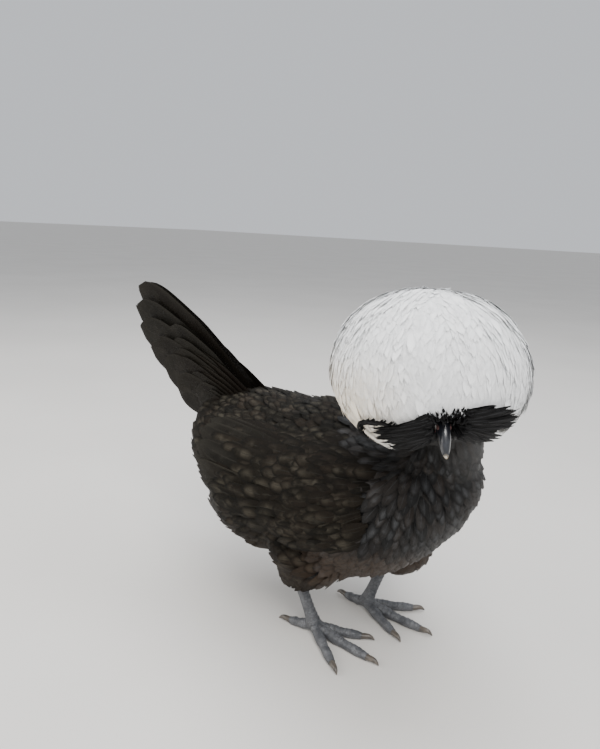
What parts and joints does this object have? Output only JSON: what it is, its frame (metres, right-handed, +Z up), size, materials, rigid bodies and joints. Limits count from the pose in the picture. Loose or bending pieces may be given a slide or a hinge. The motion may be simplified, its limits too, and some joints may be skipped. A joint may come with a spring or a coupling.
{
  "type": "white-crested black crested hen",
  "caption": "Standing black hen with a large round white crest over its head, dark tufts beside a slate beak, a raised fan tail and slate legs.",
  "frame": {"origin": "centre of the bounding box on the floor plane under the feet", "axes": "+X forward along the body, the longest extent, +Y to the bird's left, +Z up"},
  "size_m": [0.3982, 0.2002, 0.2977],
  "materials": {
    "beak_horn": "dark slate horn with a pale tip",
    "body_plumage": "soft black body feathers with a faint brown tint and a slight green sheen",
    "claw_horn": "brown grey horn",
    "comb_skin": "small red skin",
    "crest_plumage": "white crest feathers, creamy low on the right side",
    "eye_gloss": "wet reddish brown eye with a black pupil",
    "face_plumage": "short black face feathers",
    "flight_plumage": "matt black flight and tail feathers with paler shafts",
    "leg_scale": "slate grey horny scales"
  },
  "bodies": {
    "root": {"beak_lower": "beak_horn", "beak_upper": "beak_horn", "claw_left_hind": "claw_horn", "claw_left_inner": "claw_horn", "claw_left_middle": "claw_horn", "claw_left_outer": "claw_horn", "claw_right_hind": "claw_horn", "claw_right_inner": "claw_horn", "claw_right_middle": "claw_horn", "claw_right_outer": "claw_horn", "crest": "crest_plumage", "eye_left": "eye_gloss", "eye_right": "eye_gloss", "foot_left": "leg_scale", "foot_right": "leg_scale", "head": "face_plumage", "neck": "body_plumage", "shank_left": "leg_scale", "shank_right": "leg_scale", "tail_left": "flight_plumage", "tail_right": "flight_plumage", "thigh_left": "body_plumage", "thigh_right": "body_plumage", "torso": "body_plumage", "tuft_left": "face_plumage", "tuft_right": "face_plumage", "wattle_left": "comb_skin", "wattle_right": "comb_skin", "wing_left": "flight_plumage", "wing_right": "flight_plumage"}
  },
  "joints": []
}
